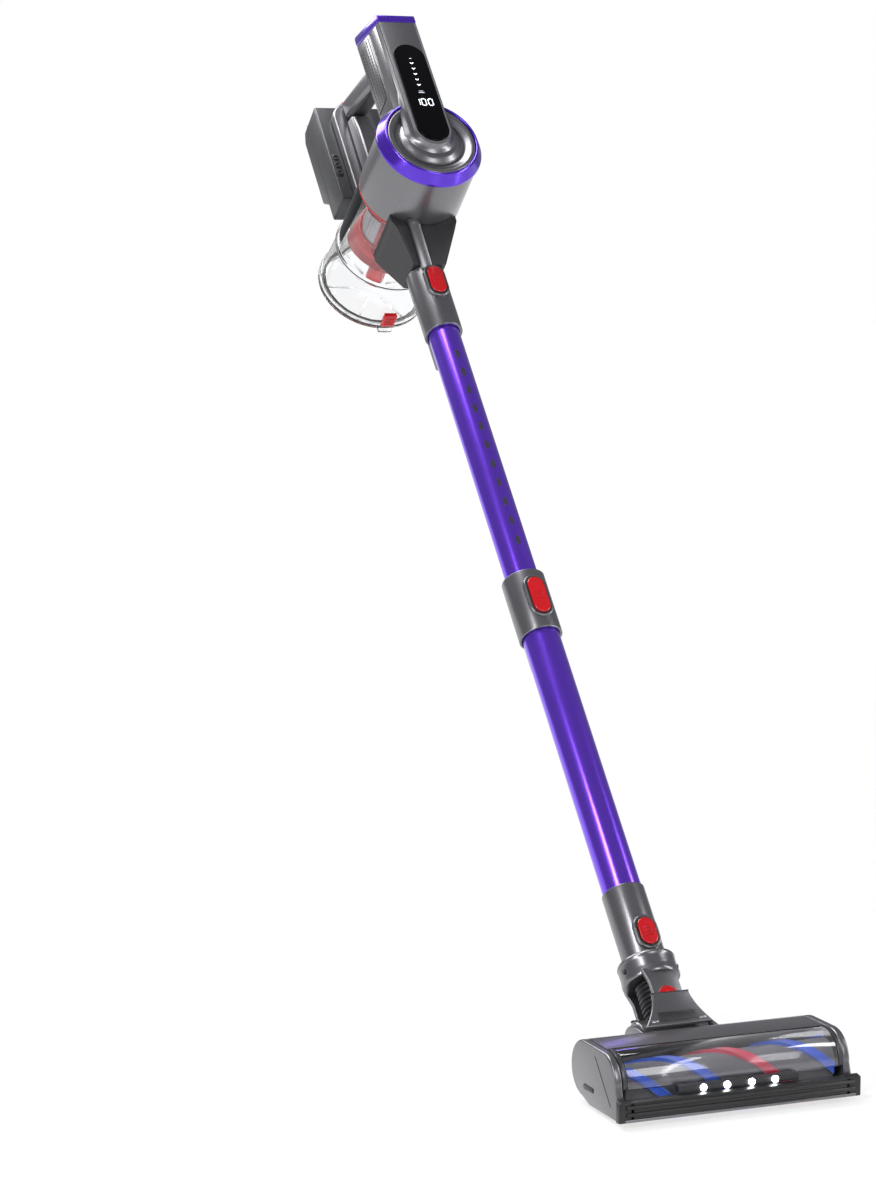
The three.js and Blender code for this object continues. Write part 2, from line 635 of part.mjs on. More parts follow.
const stick = new THREE.Group(); // origin at the motor axis, z along the wand
stick.add(
  piece("motor_housing", motorHousing(), GUNMETAL),
  piece("trim_ring", trimRing(), PURPLE),
  piece("front_cap", frontCap(), GUNMETAL),
  piece("suction_motor", suctionMotor(), STEEL),
  piece("impeller", impeller(), DARK),
  piece("filter_rim", filterRim(), DARK),
  piece("filter_pleats", filterPleats(), WHITE),
  piece("cyclone_shroud", cycloneShroud(), RED),
  piece("mesh_screen", meshScreen(), STEEL),
  piece("dust_cup", dustCup(), CLEAR),
  piece("door_seal", doorSeal(), RUBBER),
  piece("dust_door", dustDoor(), CLEAR),
  piece("door_hinge_pin", doorPin(), STEEL),
  piece("dust_latch", dustLatch(), RED),
  piece("inlet_funnel", inletFunnel(), DARK),
  piece("inlet_collar", inletCollar(), GUNMETAL),
  piece("inlet_button", button(INLET.buttonFrom, INLET.buttonTo), RED),
  piece("tower_housing", towerHousing(), GUNMETAL),
  piece("tower_cap", towerCap(), PURPLE),
  piece("display_glass", displayGlass(), GLASS),
  piece("main_board", mainBoard(), BOARD),
  piece("vent_grille_left", ventGrille(-1), DARK),
  piece("vent_grille_right", ventGrille(1), DARK),
  piece("handle_grip", handleGrip(), GUNMETAL),
  piece("handle_post", handlePost(), GUNMETAL),
  piece("handle_strut", handleStrut(), GUNMETAL),
  piece("trigger", trigger(), RED),
  piece("battery_dock", batteryDock(), DARK),
  piece("battery_button", batteryButton(), RED),
  piece("battery_case", batteryCase(), GUNMETAL),
  piece("battery_cells", batteryCells(), BLUE),
  piece("battery_gauge", batteryGauge(), DARK),
);
stick.position.z = AXIS_HEIGHT;

const wand = new THREE.Group(); // origin at the pitch pivot, z along the wand
wand.add(
  stick,
  piece("upper_tube", upperTube(), PURPLE),
  piece("mid_collar", midCollar(), GUNMETAL),
  piece("mid_button", button(MID.buttonFrom, MID.buttonTo), RED),
  piece("lower_tube", lowerTube(), PURPLE),
  piece("bottom_collar", bottomCollar(), GUNMETAL),
  piece("bottom_button", button(LOW.buttonFrom, LOW.buttonTo), RED),
  piece("neck_socket", neckSocket(), GUNMETAL),
  piece("swivel_hub", swivelHub(), RED),
  piece("neck_hose", neckHose(), RUBBER),
  piece("swivel_yoke", swivelYoke(), GUNMETAL),
  piece("pitch_axle", rodX(5, -44, 44), STEEL),
);
wand.rotation.x = -LEAN;

const floorHead = new THREE.Group(); // origin on the floor under the roller axis
const rightCap = endCap();
floorHead.add(
  piece("head_housing", headHousing(), GUNMETAL),
  piece("head_window", headWindow(), SMOKE),
  piece("end_cap_left", mirrored(rightCap), GUNMETAL),
  piece("end_cap_right", rightCap, GUNMETAL),
  piece("sole_plate", solePlate(), DARK),
  piece("front_bumper", frontBumper(), RUBBER),
  piece("led_bar", ledBar(), WHITE),
  piece("roller_core", rollerCore(), DARK),
  piece("roller_sleeve", rollerSleeve(), PLUSH),
  piece("roller_strip_red", rollerStrip(0), CRIMSON),
  piece("roller_strip_blue_a", rollerStrip((2 * Math.PI) / 3), BLUE),
  piece("roller_strip_blue_b", rollerStrip((4 * Math.PI) / 3), BLUE),
  piece("neck_cradle", neckCradle(), GUNMETAL),
  piece("rear_wheel_left", wheel(-1), RUBBER),
  piece("rear_wheel_right", wheel(1), RUBBER),
  piece("brush_motor", brushMotor(), STEEL),
  piece("motor_pulley", motorPulley(), DARK),
);

// The grip's middle goes to the origin, and the neck joins the wand to the head at the pitch axis.
const grip = new THREE.Vector3(0, GRIP.y, AXIS_HEIGHT + GRIP.z).applyEuler(wand.rotation);
wand.position.copy(grip).negate();
floorHead.position.copy(wand.position).sub(new THREE.Vector3(0, PIVOT.y, PIVOT.z));

const vacuum = new THREE.Group();
vacuum.add(wand, floorHead);

export default vacuum;
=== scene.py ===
"""A cordless stick vacuum: shells, tubes, dust cup, neck and floor head around the CAD frame."""
import json
import math

import bmesh
import bpy
from mathutils import Matrix, Vector


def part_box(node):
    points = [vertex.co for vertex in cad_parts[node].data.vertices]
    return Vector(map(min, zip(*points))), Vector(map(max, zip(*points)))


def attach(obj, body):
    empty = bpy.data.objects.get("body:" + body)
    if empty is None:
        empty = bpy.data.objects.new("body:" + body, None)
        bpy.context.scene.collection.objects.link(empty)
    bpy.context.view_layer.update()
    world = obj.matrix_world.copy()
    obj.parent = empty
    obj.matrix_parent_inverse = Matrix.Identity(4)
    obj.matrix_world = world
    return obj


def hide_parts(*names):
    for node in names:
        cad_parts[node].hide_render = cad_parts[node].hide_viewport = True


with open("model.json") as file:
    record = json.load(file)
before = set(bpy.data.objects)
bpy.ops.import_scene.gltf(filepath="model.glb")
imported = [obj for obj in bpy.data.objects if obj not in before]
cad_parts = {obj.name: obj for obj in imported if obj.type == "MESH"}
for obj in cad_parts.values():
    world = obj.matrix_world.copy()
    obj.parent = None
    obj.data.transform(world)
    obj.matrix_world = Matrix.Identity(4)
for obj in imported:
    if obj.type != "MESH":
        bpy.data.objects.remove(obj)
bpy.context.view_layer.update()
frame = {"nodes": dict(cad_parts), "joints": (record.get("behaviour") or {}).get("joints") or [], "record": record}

# ------------------------------------------------------------------ places
RECORD = frame["record"]
JOINTS = {joint["name"]: joint for joint in frame["joints"]}
BODY_OF = {node: body for body, nodes in RECORD["behaviour"]["bodies"].items() for node in nodes}
AXIS = {"X": Vector((1, 0, 0)), "Y": Vector((0, 1, 0)), "Z": Vector((0, 0, 1))}
ROLLER_HEIGHT = 0.028
MM = 0.001


def local_frame(origin, back, up):
    """Millimetres in a part's own frame, x to the side, y back and z up, to metres in the row frame."""
    turn = Matrix((AXIS["X"], back, up)).transposed().to_4x4()
    return Matrix.Translation(origin) @ turn @ Matrix.Scale(MM, 4)


BACK = Vector(JOINTS["fan_spin"]["axis"]).normalized()
ALONG = Vector(JOINTS["wand_slide"]["axis"]).normalized()
STICK = local_frame(Vector(JOINTS["fan_spin"]["pos_m"]), BACK, ALONG)
WAND = local_frame(Vector(JOINTS["neck_pitch"]["pos_m"]), BACK, ALONG)
HEAD = local_frame(
    Vector(JOINTS["roller_spin"]["pos_m"]) - ROLLER_HEIGHT * AXIS["Z"], AXIS["Y"], AXIS["Z"]
)


def reach(node, place):
    """Lowest and highest corners of a CAD node in a part's own frame, in millimetres."""
    back = place.inverted()
    spots = [back @ v.co for v in frame["nodes"][node].data.vertices]
    low = Vector([min(s[i] for s in spots) for i in range(3)])
    high = Vector([max(s[i] for s in spots) for i in range(3)])
    return low, high


# ------------------------------------------------------------------ materials
class Finish:
    """A material with its node tree at hand."""

    def __init__(self, name, color, roughness, metallic=0.0, coat=0.0):
        self.material = bpy.data.materials.new(name)
        self.material.use_nodes = True
        self.tree = self.material.node_tree
        self.shader = self.tree.nodes["Principled BSDF"]
        self.color = color
        self.shader.inputs["Base Color"].default_value = (*color, 1)
        self.shader.inputs["Roughness"].default_value = roughness
        self.shader.inputs["Metallic"].default_value = metallic
        self.shader.inputs["Coat Weight"].default_value = coat
        self.shader.inputs["Coat Roughness"].default_value = 0.08
        self.place = self.tree.nodes.new("ShaderNodeTexCoord").outputs["Object"]

    def node(self, kind, **sockets):
        made = self.tree.nodes.new(kind)
        for name, value in sockets.items():
            made.inputs[name.replace("_", " ")].default_value = value
        return made

    def link(self, source, target):
        self.tree.links.new(source, target)

    def noise(self, scale, detail=3.0):
        made = self.node("ShaderNodeTexNoise", Scale=scale, Detail=detail)
        self.link(self.place, made.inputs["Vector"])
        return made.outputs["Fac"]

    def tone(self, factor, low, high):
        """The base colour drifts between two brightnesses of itself."""
        ramp = self.tree.nodes.new("ShaderNodeValToRGB")
        ramp.color_ramp.elements[0].color = (*[c * low for c in self.color], 1)
        ramp.color_ramp.elements[1].color = (*[min(1, c * high) for c in self.color], 1)
        ramp.color_ramp.elements[0].position = 0.3
        ramp.color_ramp.elements[1].position = 0.7
        self.link(factor, ramp.inputs["Fac"])
        self.link(ramp.outputs["Color"], self.shader.inputs["Base Color"])

    def gloss(self, factor, low, high):
        """The roughness drifts between two values."""
        span = self.node("ShaderNodeMapRange", To_Min=low, To_Max=high)
        self.link(factor, span.inputs["Value"])
        self.link(span.outputs["Result"], self.shader.inputs["Roughness"])

    def relief(self, height, strength, distance):
        bump = self.node("ShaderNodeBump", Strength=strength, Distance=distance)
        self.link(height, bump.inputs["Height"])
        self.link(bump.outputs["Normal"], self.shader.inputs["Normal"])


def moulded(name, color, roughness, metallic=0.0, coat=0.0, grain=2600.0, strength=0.12):
    """Moulded plastic with a fine grain, a slow drift of tone and an uneven gloss."""
    made = Finish(name, color, roughness, metallic, coat)
    made.tone(made.noise(70.0, 4.0), 0.93, 1.07)
    made.gloss(made.noise(38.0, 5.0), roughness * 0.88, roughness * 1.14)
    made.relief(made.noise(grain, 2.0), strength, 0.00006)
    return made


def flaked(name, color, roughness, metallic, coat, flake=0.12):
    """Metallic lacquer: small flakes that differ in brightness under a clear coat."""
    made = Finish(name, color, roughness, metallic, coat)
    cells = made.node("ShaderNodeTexVoronoi", Scale=2300.0)
    made.link(made.place, cells.inputs["Vector"])
    split = made.tree.nodes.new("ShaderNodeSeparateColor")
    made.link(cells.outputs["Color"], split.inputs["Color"])
    made.tone(split.outputs["Red"], 1 - flake, 1 + flake)
    made.gloss(made.noise(30.0, 4.0), roughness * 0.9, roughness * 1.12)
    made.relief(made.noise(900.0, 2.0), 0.04, 0.00005)
    return made


def clear(name, color, roughness, transmission=1.0, ior=1.45):
    """Clear plastic with faint scuffs."""
    made = Finish(name, color, roughness)
    made.shader.inputs["Transmission Weight"].default_value = transmission
    made.shader.inputs["IOR"].default_value = ior
    made.gloss(made.noise(55.0, 6.0), roughness * 0.5, roughness * 1.6)
    made.relief(made.noise(60.0, 2.0), 0.03, 0.0002)
    return made


def pile(name, color, grain=1500.0, strength=0.9):
    """Dense short fibres."""
    made = Finish(name, color, 0.95)
    made.shader.inputs["Sheen Weight"].default_value = 0.6
    made.shader.inputs["Sheen Roughness"].default_value = 0.5
    fibres = made.noise(grain, 6.0)
    made.tone(fibres, 0.7, 1.3)
    made.relief(fibres, strength, 0.0008)
    return made


def perforated(name, color, roughness, metallic, pitch):
    """Sheet metal with a pattern of small round holes, drawn as dark spots in its colour: painted shade."""
    made = Finish(name, color, roughness, metallic)
    cells = made.node("ShaderNodeTexVoronoi", Scale=1 / pitch, Randomness=0.0)
    made.link(made.place, cells.inputs["Vector"])
    edge = made.node("ShaderNodeMapRange", From_Min=0.28, From_Max=0.36)
    made.link(cells.outputs["Distance"], edge.inputs["Value"])
    # The holes are the metal's colour darkened to 8 percent: painted shade where the holes are.
    made.tone(edge.outputs["Result"], 0.08, 1.0)
    made.relief(edge.outputs["Result"], 0.6, 0.0003)
    return made


def lit(name, color, strength):
    """A glowing face with an uneven gloss."""
    made = Finish(name, color, 0.3)
    made.shader.inputs["Emission Color"].default_value = (*color, 1)
    made.shader.inputs["Emission Strength"].default_value = strength
    made.gloss(made.noise(800.0), 0.25, 0.4)
    return made


GUNMETAL = flaked("gunmetal", (0.185, 0.185, 0.195), 0.29, 0.86, 0.2, flake=0.09)
CHARCOAL = flaked("charcoal", (0.07, 0.071, 0.076), 0.34, 0.7, 0.15)
DARK = moulded("dark_plastic", (0.013, 0.013, 0.015), 0.4)
PURPLE = flaked("purple_lacquer", (0.085, 0.022, 0.52), 0.2, 0.75, 0.5)
TUBE = flaked("anodised_purple", (0.19, 0.065, 0.82), 0.22, 0.9, 0.4, flake=0.06)
RED = moulded("red_gloss", (0.44, 0.002, 0.006), 0.22, 0.0, 0.3, 900.0, 0.05)
CYCLONE = clear("cyclone_red", (0.72, 0.035, 0.045), 0.12, 0.7)
CUP = clear("clear_cup", (0.985, 0.99, 0.995), 0.03)
SMOKE = clear("smoked_window", (0.8, 0.8, 0.83), 0.06)
SMOKE.shader.inputs["Specular IOR Level"].default_value = 1.0
SMOKE.shader.inputs["Coat Weight"].default_value = 1.0
SCREEN = moulded("black_glass", (0.0015, 0.0015, 0.002), 0.12, 0.0, 0.0, 400.0, 0.01)
SCREEN.shader.inputs["Specular IOR Level"].default_value = 0.12
STEEL = flaked("brushed_steel", (0.55, 0.56, 0.58), 0.28, 1.0, 0.0, flake=0.05)
MOTOR = flaked("motor_metal", (0.42, 0.42, 0.44), 0.4, 1.0, 0.0)
MESH = perforated("mesh_metal", (0.42, 0.42, 0.44), 0.35, 0.9, 0.0022)
RUBBER = moulded("black_rubber", (0.008, 0.008, 0.009), 0.4, 0.0, 0.0, 1800.0, 0.25)
PLUSH = pile("grey_plush", (0.16, 0.16, 0.175))
BLUE = pile("blue_bristle", (0.035, 0.14, 1.0), 2200.0, 0.4)
CRIMSON = pile("red_bristle", (1.0, 0.04, 0.1), 2200.0, 0.4)
PAPER = moulded("filter_paper", (0.82, 0.82, 0.8), 0.85)
BOARD = moulded("circuit_green", (0.012, 0.1, 0.035), 0.5)
CELL = moulded("cell_blue", (0.02, 0.12, 0.5), 0.35)
GLOW = lit("white_lamp", (0.92, 0.96, 1.0), 30.0)
MARK = lit("display_light", (0.9, 0.95, 1.0), 1.6)
FAINT = lit("faint_light", (0.6, 0.65, 0.75), 0.3)
# A paler copy of the gunmetal for the tower's front edge: a painted highlight.
EDGE_HIGHLIGHT = flaked("painted_highlight_edge", (0.42, 0.43, 0.46), 0.28, 0.85, 0.2)


# ------------------------------------------------------------------ shapes
def spot(axis, a, b, along):
    return {"X": (along, a, b), "Y": (a, along, b), "Z": (a, b, along)}[axis]


def eased(points, radius, closed=True, steps=4):
    """The outline with each corner turned into a short curve."""
    spots = [Vector(p) for p in points]
    made = []
    for i, here in enumerate(spots):
        if not closed and i in (0, len(spots) - 1):
            made.append(tuple(here))
            continue
        before = spots[i - 1] - here
        after = spots[(i + 1) % len(spots)] - here
        room = min(radius, 0.45 * before.length, 0.45 * after.length)
        start = here + before.normalized() * room
        end = here + after.normalized() * room
        for k in range(steps + 1):
            t = k / steps
            made.append(tuple(start * (1 - t) ** 2 + here * 2 * t * (1 - t) + end * t**2))
    return made


def arc(a, b, radius, start, end, steps=16):
    """Points of an arc between two angles in degrees."""
    turns = [math.radians(start + (end - start) * i / steps) for i in range(steps + 1)]
    return [(a + radius * math.cos(t), b + radius * math.sin(t)) for t in turns]


def pill(half, low, high, steps=16):
    """An upright outline with round ends."""
    return arc(0, low + half, half, 180, 360, steps) + arc(0, high - half, half, 0, 180, steps)


def box(x0, x1, y0, y1):
    return [(x0, y0), (x1, y0), (x1, y1), (x0, y1)]


def tidy(bm):
    """Merges doubles and turns the faces outwards."""
    bmesh.ops.remove_doubles(bm, verts=bm.verts, dist=1e-4)
    bmesh.ops.recalc_face_normals(bm, faces=bm.faces)
    return bm


def shifted(bm, step):
    bmesh.ops.translate(bm, verts=bm.verts, vec=step)
    return bm


def swung(bm, turn, axis="Y"):
    """Turns a shell about an axis through the origin."""
    bmesh.ops.rotate(bm, verts=bm.verts, cent=(0, 0, 0), matrix=Matrix.Rotation(turn, 3, axis))
    return bm


def turned(profile, axis, sides=72, ease=0.0, centre=(0, 0)):
    """A round piece from a profile of (radius, station); an open profile starts and ends on the axis."""
    ring = profile[0][0] > 0
    points = eased(profile, ease, closed=ring) if ease else profile
    bm = bmesh.new()
    spots = [bm.verts.new(spot(axis, r, 0, s)) for r, s in points]
    edges = [bm.edges.new(pair) for pair in zip(spots, spots[1:])]
    if ring:
        edges.append(bm.edges.new((spots[-1], spots[0])))
    bmesh.ops.spin(
        bm, geom=spots + edges, cent=(0, 0, 0), axis=AXIS[axis], dvec=(0, 0, 0),
        angle=2 * math.pi, steps=sides, use_merge=True,
    )
    return tidy(shifted(bm, spot(axis, *centre, 0)))


def edge_loop(bm, points):
    """A closed loop of edges through the points."""
    spots = [bm.verts.new(p) for p in points]
    return [bm.edges.new(pair) for pair in zip(spots, spots[1:] + spots[:1])]


def loft(rings):
    """A skin through rings of points, closed at both ends."""
    bm = bmesh.new()
    loops = [edge_loop(bm, ring) for ring in rings]
    for low, high in zip(loops, loops[1:]):
        bmesh.ops.bridge_loops(bm, edges=low + high)
    bmesh.ops.edgeloop_fill(bm, edges=loops[0])
    bmesh.ops.edgeloop_fill(bm, edges=loops[-1])
    return tidy(bm)


def gasket(outer, inner, axis, low, high):
    """The flat ring between two outlines, extruded along an axis."""
    bm = bmesh.new()
    edges = [edge for outline in (outer, inner)
             for edge in edge_loop(bm, [spot(axis, a, b, low) for a, b in outline])]
    bmesh.ops.triangle_fill(bm, edges=edges, use_beauty=True)
    grown = bmesh.ops.extrude_face_region(bm, geom=bm.faces[:])
    raised = [g for g in grown["geom"] if isinstance(g, bmesh.types.BMVert)]
    bmesh.ops.translate(bm, verts=raised, vec=AXIS[axis] * (high - low))
    return tidy(bm)


def soften(bm, width, segments=3, corner=40):
    """Rounds the edges that are sharper than the given angle."""
    sharp = [e for e in bm.edges if len(e.link_faces) == 2 and e.calc_face_angle(0) > math.radians(corner)]
    bmesh.ops.bevel(
        bm, geom=sharp, offset=width, offset_type="OFFSET", segments=segments, profile=0.5,
        affect="EDGES", clamp_overlap=True, material=-1,
    )
    return bm


def slab(outline, axis, low, high, edge=0.0, segments=3, corner=0.0):
    """An outline extruded along an axis, with rounded edges."""
    points = eased(outline, corner) if corner else outline
    bm = loft([[spot(axis, a, b, at) for a, b in points] for at in (low, high)])
    return soften(bm, edge, segments) if edge else bm


def block(x0, x1, y0, y1, z0, z1, edge=0.0, segments=3):
    return slab(box(x0, x1, y0, y1), "Z", z0, z1, edge, segments)


def rod(axis, radius, low, high, a=0.0, b=0.0, edge=0.4, sides=40):
    profile = [(0, low), (radius - edge, low), (radius, low + edge), (radius, high - edge),
               (radius - edge, high), (0, high)]
    return turned(profile, axis, sides, centre=(a, b))


def together(*shells):
    """Several shells in one mesh."""
    whole = bmesh.new()
    for shell in shells:
        carrier = bpy.data.meshes.new("carrier")
        shell.to_mesh(carrier)
        shell.free()
        whole.from_mesh(carrier)
        bpy.data.meshes.remove(carrier)
    return whole


def mirrored(bm):
    """A copy of the shell on the other side, turned out again."""
    other = bm.copy()
    bmesh.ops.scale(other, vec=(-1, 1, 1), verts=other.verts)
    bmesh.ops.recalc_face_normals(other, faces=other.faces)
    return other


def recess(bm, axis, side, rim, depth):
    """Sinks the middle of the flat face at one end of a slab, and leaves a rim."""
    toward = AXIS[axis] * side
    face = max(bm.faces, key=lambda f: (round(f.normal.dot(toward), 3), f.calc_area()))
    bmesh.ops.inset_region(bm, faces=[face], thickness=rim, use_even_offset=True)
    walls = bmesh.ops.extrude_face_region(bm, geom=[face])
    moved = [g for g in walls["geom"] if isinstance(g, bmesh.types.BMVert)]
    bmesh.ops.translate(bm, verts=moved, vec=-toward * depth)
    if face.is_valid:
        bmesh.ops.delete(bm, geom=[face], context="FACES")
    bmesh.ops.recalc_face_normals(bm, faces=bm.faces)
    return bm


def piece(name, bm, place, finish, *nodes, body=None, slot=None, smooth=32):
    """Puts a finished shell into the scene on its body, in place of its CAD nodes."""
    bm.transform(place)
    for face in bm.faces:
        face.smooth = True
    for edge in bm.edges:
        edge.smooth = edge.calc_face_angle(0) < math.radians(smooth)
    mesh = bpy.data.meshes.new(name)
    bm.to_mesh(mesh)
    bm.free()
    mesh.materials.append(finish.material)
    made = bpy.data.objects.new(name, mesh)
    bpy.context.scene.collection.objects.link(made)
    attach(made, body or BODY_OF[nodes[0]])
    if nodes:
        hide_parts(*nodes)
    return made


def trim(name, bm, place, finish, body, slot, smooth=32):
    """A small added piece that stands for no CAD node."""
    return piece(name, bm, place, finish, body=body, slot=slot, smooth=smooth)


def keep(finish, *nodes):
    """CAD nodes whose shape is right get a finish."""
    for node in nodes:
        frame["nodes"][node].data.materials.clear()
        frame["nodes"][node].data.materials.append(finish.material)


# ------------------------------------------------------------------ motor barrel and cyclone
def motor_barrel():
    low, high = reach("motor_housing", STICK)
    radius = high.x
    shell = box(radius - 4, radius, low.y, high.y)
    piece("motor_housing_shell", turned(shell, "Y", 128, 0.8), STICK, GUNMETAL, "motor_housing")

    low, high = reach("trim_ring", STICK)
    outer, lip = high.x, high.x - 8.5
    ring = [(lip - 1.5, high.y), (outer, high.y), (outer, high.y - 3.5), (lip + 1.5, low.y + 0.9),
            (lip, low.y), (lip - 1.5, low.y + 0.8)]
    piece("purple_ring", turned(ring, "Y", 144, 1.0), STICK, PURPLE, "trim_ring")
    seam = box(outer - 6, outer - 1.0, high.y + 0.1, high.y + 0.4)
    trim("ring_seam", turned(seam, "Y", 96), STICK, DARK, "hand_unit", "dark_plastic")

    low, high = reach("front_cap", STICK)
    rim = high.x
    dish = [(0, low.y + 0.8), (30, low.y + 0.8), (36.4, low.y + 5.2), (41, low.y + 5.8), (48, low.y + 1.4),
            (rim, low.y + 1.6), (rim, high.y), (0, high.y)]
    piece("front_cap_dish", turned(dish, "Y", 128, 2.4), STICK, GUNMETAL, "front_cap")
    groove = box(38.2, 39.0, low.y + 4.6, low.y + 6.4)
    trim("cap_groove_ring", turned(groove, "Y", 96, 0.2), STICK, DARK, "hand_unit", "dark_plastic")


OUTLET = (-20, -33)
CUP_BACK = 138.0
HINGE = (143.2, 70.4)


def cyclone():
    flange = turned(box(46.4, 54, -26.4, -12), "Y", 96, 0.8)
    skirt = turned([(0, 55), (20, 55), (46, 52), (46.4, 36), (48.5, 36), (55, 56), (52, 59), (0, 59)],
                   "Y", 96, 1.2)
    bars = [swung(block(46.6, 49.6, -14, 40, -5, 5, 0.8, 2), (i + 0.5) * math.pi / 2) for i in range(4)]
    high = reach("cyclone_shroud", STICK)[1]
    outlet = turned(box(8.6, 11, 58.8, high.y), "Y", 40, 0.6, centre=OUTLET)
    piece("cyclone_cone", together(flange, skirt, *bars, outlet), STICK, CYCLONE, "cyclone_shroud")
    low, high = reach("mesh_screen", STICK)
    sleeve = box(high.x - 1.2, high.x, low.y, high.y)
    piece("mesh_sleeve", turned(sleeve, "Y", 96, 0.3), STICK, MESH, "mesh_screen")


def dust_cup():
    low, high = reach("dust_cup", STICK)
    flange, back, start = high.x, CUP_BACK, low.y
    shell = [(57.6, start), (60, start), (60, 71), (62.5, 72), (62.5, 76), (60.5, 77.5), (64.5, back - 6),
             (flange, back - 5), (flange, back), (62, back), (58.2, 78), (57.6, 72)]
    ears = [block(s * 14.5 - 2, s * 14.5 + 2, back - 5, back + 8.6, 67, 74.4, 1.2) for s in (-1, 1)]
    piece("dust_cup_shell", together(turned(shell, "Y", 144, 0.9), *ears), STICK, CUP, "dust_cup")
    step = box(61.6, 62.9, 73.2, 74.5)
    trim("cup_step_ring", turned(step, "Y", 128, 0.3), STICK, CHARCOAL, "hand_unit", "dark_plastic")
    rim = box(65.0, flange + 0.3, back - 2.4, back - 0.9)
    trim("cup_rim_band", turned(rim, "Y", 128, 0.3), STICK, CHARCOAL, "hand_unit", "dark_plastic")
    band = box(60.05, 60.7, start + 0.2, start + 2.2)
    trim("cup_red_band", turned(band, "Y", 128, 0.25), STICK, RED, "hand_unit", "red_gloss")


def dust_door():
    front, radius = CUP_BACK + 0.5, 66.5
    disc = [(0, front), (radius, front), (radius, front + 2.4), (61, front + 4.4), (57, front + 4.4),
            (55, front + 2.6), (0, front + 2.6)]
    lug = block(-12, 12, front, front + 7.8, 60, 74.2, 2.0)
    catch = block(-9, 9, front, front + 4.6, -71.4, -60, 1.6)
    ribs = [swung(block(-1, 1, front + 2, front + 4, 18, 56, 0.5, 2), (i + 0.5) * math.pi / 3)
            for i in range(6)]
    door = together(turned(disc, "Y", 128, 0.9), lug, catch, *ribs)
    piece("dust_door_plate", door, STICK, CUP, "dust_door")
    piece("hinge_pin_rod", rod("X", 2.2, -16.4, 16.4, *HINGE, 0.4), STICK, STEEL, "door_hinge_pin")
    tab = slab([(112, -71.5), (131, -71.5), (132.4, -70), (132.4, -65.6), (112, -65.6)], "X", -8, 8, 1.0, 3)
    grips = [block(-6, 6, 114.4 + 3 * i, 115.6 + 3 * i, -72.3, -71, 0.3, 1) for i in range(5)]
    piece("latch_tab", together(tab, *grips), STICK, RED, "dust_latch")


# ------------------------------------------------------------------ tower and display
TOWER = {"half": 24.0, "front": -129.0, "back": -58.0, "foot": 6.5, "top": 175.0, "rise": 0.4}


def slope(y):
    """Height of the tower's slanted top at a depth."""
    return TOWER["top"] + TOWER["rise"] * (y - TOWER["front"])


def tower_outline(flare, top, inset=0.0):
    """The tower's front outline, whose round foot flares out."""
    half, foot = TOWER["half"] - inset, TOWER["foot"]
    points = arc(0, foot, half, 180, 360, 32) + [(half, 40), (half, 70), (half, top)]
    points += [(-half, top), (-half, 70), (-half, 40)]
    made = []
    for x, z in points:
        reach_out = flare * min(1.0, max(0.0, (62 - z) / 40))
        away = Vector((x, min(0.0, z - foot)))
        away = away.normalized() if away.length > 0 else away
        made.append((x + away.x * reach_out, z + away.y * reach_out))
    return made


def tower():
    half, front, back = TOWER["half"], TOWER["front"], TOWER["back"]
    levels = [(front, 0, 2.6), (front + 0.7, 0, 0.9), (front + 2.2, 0, 0.0), (front + 5, 1.2, 0.0),
              (front + 7.2, 3.4, 0.0), (front + 9, 7.0, 0.0), (front + 10.4, 8.5, 0.0)]
    rings = [[(x, y, z) for x, z in tower_outline(flare, slope(y) - 0.4, inset)]
             for y, flare, inset in levels]
    face = loft(rings)
    shell = [(front + 8, 52), (-97.4, 52), (-97.4, slope(-97.4)), (front + 8, slope(front + 8))]
    rear = [(-95.8, 52), (back, 52), (back, slope(back)), (-95.8, slope(-95.8))]
    core = [(-100, 54), (-90, 54), (-90, slope(-90) - 2), (-100, slope(-100) - 2)]
    shells = [slab(shell, "X", -half, half, 1.2), slab(rear, "X", -half, half, 1.6),
              slab(core, "X", -half + 1.6, half - 1.6)]
    piece("tower_shell", together(face, *shells), STICK, GUNMETAL, "tower_housing", smooth=28)
    low = slope(front) + 0.5
    high = slope(back) + 0.5
    cap = [(front, low), (back, high), (back, high + 11), (back - 3, high + 13), (front + 2, low + 12),
           (front, low + 10.5)]
    piece("tower_top", slab(cap, "X", -half, half, 1.1, 3), STICK, PURPLE, "tower_cap")
    # A pale ring along the edge of the tower's front face, lighter than the gunmetal around it: a painted
    # highlight.
    top, foot = slope(front) - 1.0, TOWER["foot"]
    outer, inner = half - 2.4, half - 3.3
    line = [(-outer, top)] + arc(0, foot, outer, 180, 360, 32) + [(outer, top), (inner, top)]
    line += arc(0, foot, inner, 360, 180, 32) + [(-inner, top)]
    trim("tower_edge_highlight", slab(line, "Y", front - 0.15, front + 0.5), STICK, EDGE_HIGHLIGHT, "hand_unit",
         "gunmetal_plastic")
    seam = [(front + 1, low - 1.2), (back - 1, high - 1.2), (back - 1, high + 0.4), (front + 1, low + 0.4)]
    trim("tower_seam", slab(seam, "X", -half + 0.8, half - 0.8), STICK, DARK, "hand_unit", "dark_plastic")
    for side, node in ((-1, "vent_grille_left"), (1, "vent_grille_right")):
        vent(side, node)


VENT_ROWS = 18
VENT_COLUMNS = 4
VENT_HOLE = 1.9


